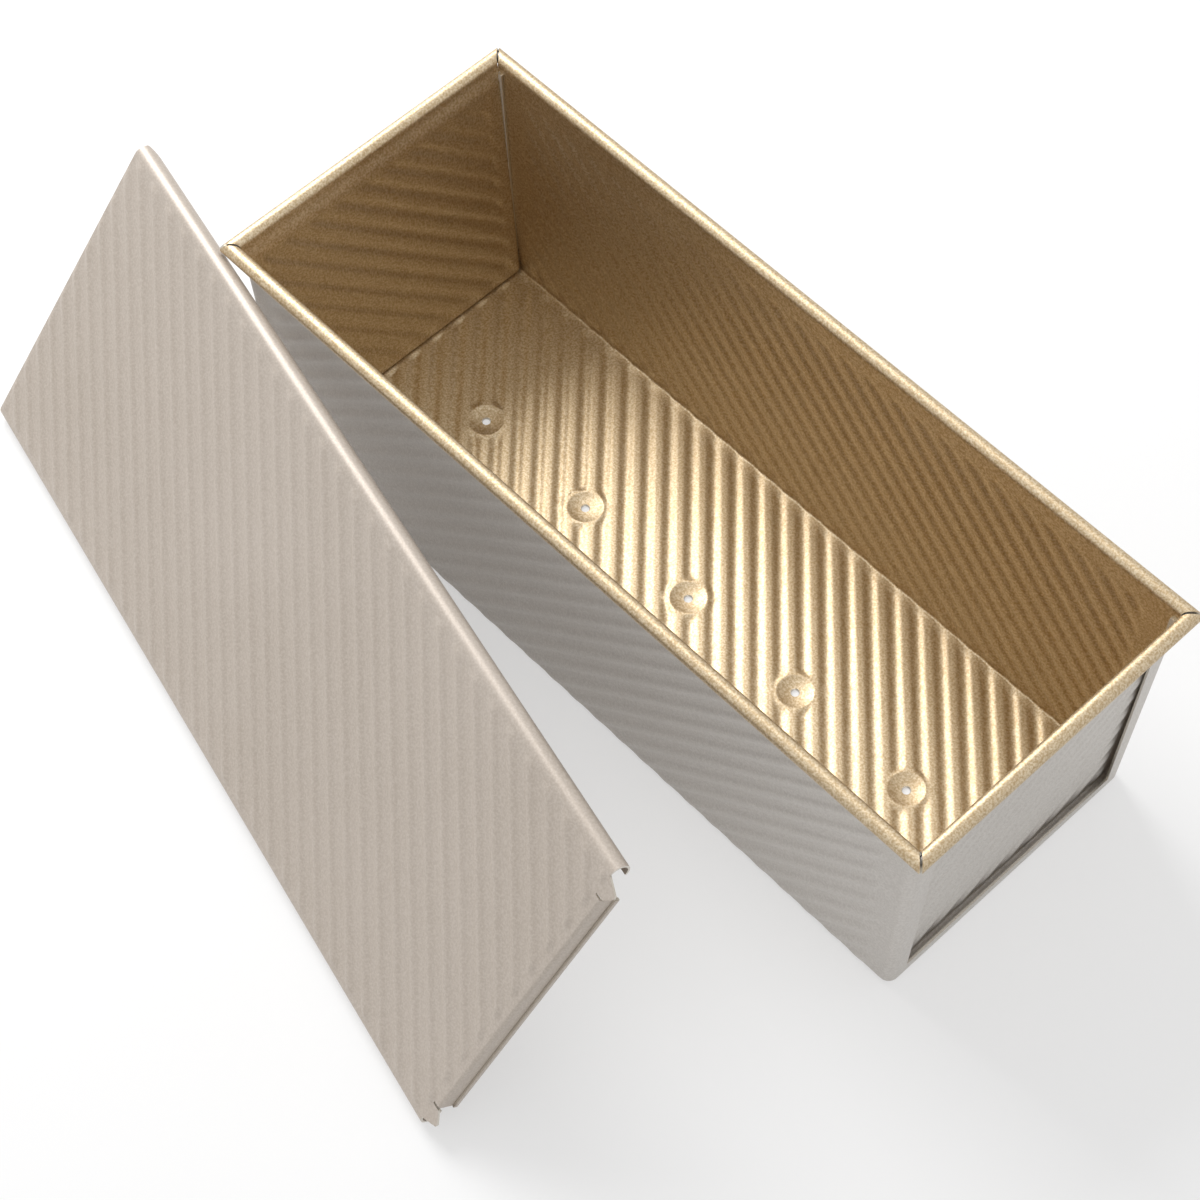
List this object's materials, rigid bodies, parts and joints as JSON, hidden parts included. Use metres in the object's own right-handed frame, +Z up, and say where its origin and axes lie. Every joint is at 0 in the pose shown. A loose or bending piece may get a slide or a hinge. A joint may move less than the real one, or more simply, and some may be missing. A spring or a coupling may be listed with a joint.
{
  "type": "pullman loaf pan",
  "caption": "Long straight-sided bread pan of diagonally ribbed sheet with a wired rolled rim, floor vents and a ribbed slide-on lid leaning against it.",
  "frame": {"origin": "centre of the pan's foot, on the table under the middle vent", "axes": "+X along the pan towards its near end, +Y across it towards the long side away from the lid, +Z up"},
  "size_m": [0.4013, 0.2678, 0.113],
  "materials": {
    "pan_sheet": "coated steel sheet, champagne non-stick coat inside and over the rim, warm grey coat outside",
    "end_sheet": "coated steel sheet, champagne non-stick coat inside and over the rim, pale grey coat outside",
    "wire": "drawn steel wire",
    "lid_sheet": "coated steel sheet, warm grey satin coat"
  },
  "bodies": {
    "pan": {"pan_wrap": "pan_sheet", "end_panel_left": "end_sheet", "end_panel_right": "end_sheet", "rim_wire": "wire"},
    "lid": {"lid_panel": "lid_sheet"}
  },
  "joints": [
    {"name": "lid_lift", "type": "slide", "parent": "pan", "child": "lid", "axis": [-0.1834, -0.7942, 0.5793], "range_m": [0, 0.15]}
  ]
}
